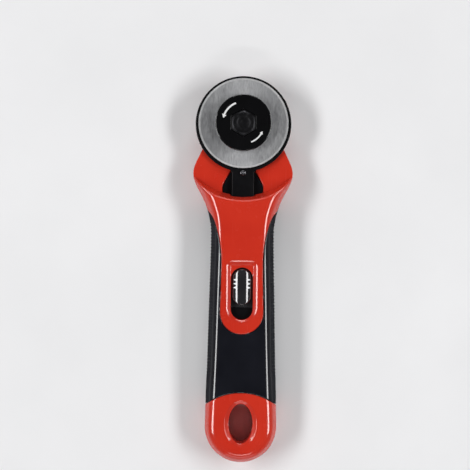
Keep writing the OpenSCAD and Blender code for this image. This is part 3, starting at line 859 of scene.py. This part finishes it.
def arrow(name, start, end, width):
    """A curved arrow printed on the cap between two angles, with its head at the end."""
    neck = end - math.degrees(HEAD_LENGTH * width / ARROW_R)
    angles = np.linspace(start, neck, 24)
    loop = ([polar(ARROW_R + width / 2, a) for a in angles]
            + [polar(ARROW_R + HEAD_HALF_W * width, neck), polar(ARROW_R, end),
               polar(ARROW_R - HEAD_HALF_W * width, neck)]
            + [polar(ARROW_R - width / 2, a) for a in reversed(angles)])
    bm = bmesh.new()
    rings = [vertex_ring(bm, loop, z) for z in (CAP_TOP + ARROW_PROUD, CAP_TOP - ARROW_SUNK)]
    for ring in rings:
        fill(bm, [ring])
    walls(bm, rings)
    return place_bmesh(name, bm, 0)


finish(arrow("cap_arrow_upper", 112, 168, 0.9), PRINT, "handle", "black_gloss")
finish(arrow("cap_arrow_lower", -68, -24, 0.7), PRINT, "handle", "black_gloss")

lo, hi = span("axle_bolt")
bolt_top, flats = hi[2], hi[0] - lo[0]
BOLT_HEAD_H, BOLT_R = 2.6, 2.5
crown_r = flats / 2 - 0.7
head = hexagon(flats, 0.1)
# the chamfer on the head falls away beyond crown_r, so it dips at each corner
bolt_rings = [(1.2, bolt_top - 0.34), (2.6, bolt_top - 0.32), (3.3, bolt_top - 0.10), (3.6, bolt_top),
              (crown_r, bolt_top), (head, lambda theta: bolt_top - (head(theta) - crown_r) * 0.55),
              (head, bolt_top - BOLT_HEAD_H), (BOLT_R, bolt_top - BOLT_HEAD_H), (BOLT_R, lo[2] + 0.4),
              (2.1, lo[2])]
finish(turned("axle_bolt_body", bolt_rings, angle=25, ends=True),
       BLACK_STEEL, "handle", "black_steel", "axle_bolt")

lo, hi = span("clamp_nut")
NUT_R = max(hi[0], hi[1])
NUT_BORE_R, INSERT_FLATS, INSERT_H = 2.8, 8.7, 4
SCALLOPS, SCALLOP_R, SCALLOP_OUT, SCALLOP_EASE = 10, 2.4, 1.5, 0.35


def scalloped(radius):
    """Radius by angle of the nut's rim, with finger scallops in it."""
    def by_angle(theta):
        t = np.mod(theta + math.pi / SCALLOPS, 2 * math.pi / SCALLOPS) - math.pi / SCALLOPS
        centre = NUT_R + SCALLOP_OUT
        chord = SCALLOP_R ** 2 - (centre * np.sin(t)) ** 2
        bite = np.where(chord > 0, centre * np.cos(t) - np.sqrt(np.maximum(chord, 0)), 1e3)
        mixed = -SCALLOP_EASE * np.log(np.exp(-radius / SCALLOP_EASE) + np.exp(-bite / SCALLOP_EASE))
        return np.minimum(mixed, radius)
    return by_angle


# stations of the nut's rim, each a distance in from its radius and a height from the nearer end
rim_below = [(1.3, 0), (0.75, 0.2), (0.3, 0.6), (0, 1.3)]
rim_above = [(0, 0.9), (0.25, 0.35), (0.8, 0.04), (1.1, 0)]
nut_rings = ([(NUT_BORE_R, lo[2] + 0.2), (3.0, lo[2]), (6.6, lo[2]), (6.9, lo[2] + 0.15),
              (7.3, lo[2] + 0.15), (7.6, lo[2])]
             + [(scalloped(NUT_R - inset), lo[2] + h) for inset, h in rim_below]
             + [(scalloped(NUT_R - inset), hi[2] - h) for inset, h in rim_above]
             + [(hexagon(INSERT_FLATS), hi[2]), (hexagon(INSERT_FLATS), hi[2] - INSERT_H),
                (NUT_BORE_R, hi[2] - INSERT_H)])
finish(turned("clamp_nut_wheel", nut_rings, angle=45, around=360),
       SATIN, "nut", "black_plastic", "clamp_nut")

# ------------------------------------------------------------------ the spring under the button


def coil(name, node, turns, wire, sides=10, per_turn=40):
    """A coil spring that fills a node's box, with its end turns drawn close."""
    lo, hi = span(node)
    centre = (lo + hi) / 2
    radius = (hi[0] - lo[0]) / 2 - wire
    low, high = lo[2] + wire, hi[2] - wire
    n = turns * per_turn
    points, faces = [], []
    for i in range(n + 1):
        t = i / n
        a = 2 * math.pi * turns * t
        z = low + (high - low) * (0.35 * t + 0.65 * blend(t))
        for k in range(sides):
            b = 2 * math.pi * k / sides
            r = radius + wire * math.cos(b)
            points.append((centre[0] + r * math.cos(a), centre[1] + r * math.sin(a), z + wire * math.sin(b)))
    for i in range(n):
        a, b = i * sides, (i + 1) * sides
        faces += [(a + k, b + k, b + (k + 1) % sides, a + (k + 1) % sides) for k in range(sides)]
    faces += [tuple(range(sides)), tuple(range((n + 1) * sides - 1, n * sides - 1, -1))]
    return solid(name, points, faces, 50)


lo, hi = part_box("button_spring")
spring = finish(coil("button_coil", "button_spring", 3, 0.25),
                SPRING, "guard_slider", "spring_steel", "button_spring")
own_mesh(spring)

# ------------------------------------------------------------------ pieces carried over from the frame

for node, material in (("body_screws", PLATED), ("detent_spring", SPRING), ("axle_bush", PLATED),
                       ("blade_washer", PLATED), ("wave_washer", SPRING), ("nut_washer", PLATED),
                       ("nut_insert", BRASS), ("slide_carrier", SATIN)):
    for slot in frame["nodes"][node].material_slots:
        slot.material = material

# ------------------------------------------------------------------ stage, lights and camera, in metres

# the floor lies a hair below the part, so that the two don't share a surface
FLOOR_HALF, FLOOR_DROP = 3.0, 0.0002
floor_mesh = bpy.data.meshes.new("floor")
floor_mesh.from_pydata([(x * FLOOR_HALF, y * FLOOR_HALF, 0) for x, y in ((-1, -1), (1, -1), (1, 1), (-1, 1))],
                       [], [(0, 1, 2, 3)])
floor_mesh.materials.append(floor_paper())
floor = bpy.data.objects.new("floor", floor_mesh)
floor.location = (0, 0, -FLOOR_DROP)
bpy.context.scene.collection.objects.link(floor)

# the surroundings are pale all round and dark overhead, so that faces turned up keep their own colour
HORIZON, ZENITH, FADE_START, FADE_END = 0.36, 0.04, 0.05, 0.55
world = bpy.data.worlds.new("studio")
bpy.context.scene.world = world
world.use_nodes = True
tree = world.node_tree
place_node = tree.nodes.new("ShaderNodeTexCoord")
split = tree.nodes.new("ShaderNodeSeparateXYZ")
fade = tree.nodes.new("ShaderNodeMapRange")
fade.interpolation_type = "SMOOTHSTEP"
for key, value in (("From Min", FADE_START), ("From Max", FADE_END), ("To Min", HORIZON), ("To Max", ZENITH)):
    fade.inputs[key].default_value = value
tree.links.new(place_node.outputs["Generated"], split.inputs[0])
tree.links.new(split.outputs["Z"], fade.inputs["Value"])
tree.links.new(fade.outputs[0], tree.nodes["Background"].inputs["Strength"])
tree.nodes["Background"].inputs["Color"].default_value = (1, 1, 1, 1)

# the lights stand this many times further out than their figures say, and are as much larger, which
# looks the same from the cutter and lights the floor evenly further away
RIG = 2.5


def softbox(name, at, aim, size, power):
    light = bpy.data.lights.new(name, "AREA")
    light.shape = "RECTANGLE"
    light.size, light.size_y = size[0] * RIG, size[1] * RIG
    light.energy = power * RIG ** 2
    obj = bpy.data.objects.new(name, light)
    obj.location = Vector(at) * RIG
    obj.rotation_mode = "QUATERNION"
    obj.rotation_quaternion = (Vector(aim) - obj.location).to_track_quat("-Z", "Y")
    bpy.context.scene.collection.objects.link(obj)


softbox("key_left", (-0.58, 0.0, 0.56), (0, 0, 0), (0.55, 0.16), 3.8)
softbox("key_right", (0.58, 0.0, 0.56), (0, 0, 0), (0.55, 0.16), 3.5)
softbox("front_strip", (0.0, -0.60, 0.56), (0, -0.02, 0), (0.45, 0.06), 0.75)
softbox("back", (0.0, 0.85, 0.50), (0, 0.02, 0), (0.7, 0.08), 2.4)
softbox("front", (0.0, -1.10, 0.40), (0, -0.02, 0), (1.0, 0.30), 1.2)

# the camera looks straight down at a point on the handle, and is turned by a little over half a degree
DISTANCE, FRAME_WIDTH, SENSOR, TURN = 0.85, 0.235, 36, math.radians(0.58)
aim = Vector((-0.0037, (AXLE_Y - 56.0) * MM, 0.015))
camera = bpy.data.cameras.new("camera")
camera.sensor_width = SENSOR
camera.lens = SENSOR * DISTANCE / FRAME_WIDTH
camera.clip_start, camera.clip_end = 0.05, 20
eye = bpy.data.objects.new("camera", camera)
eye.location = aim + Vector((0, 0, DISTANCE))
eye.rotation_euler = (0, 0, TURN)
bpy.context.scene.collection.objects.link(eye)
bpy.context.scene.camera = eye
bpy.context.scene.view_settings.view_transform = "Standard"
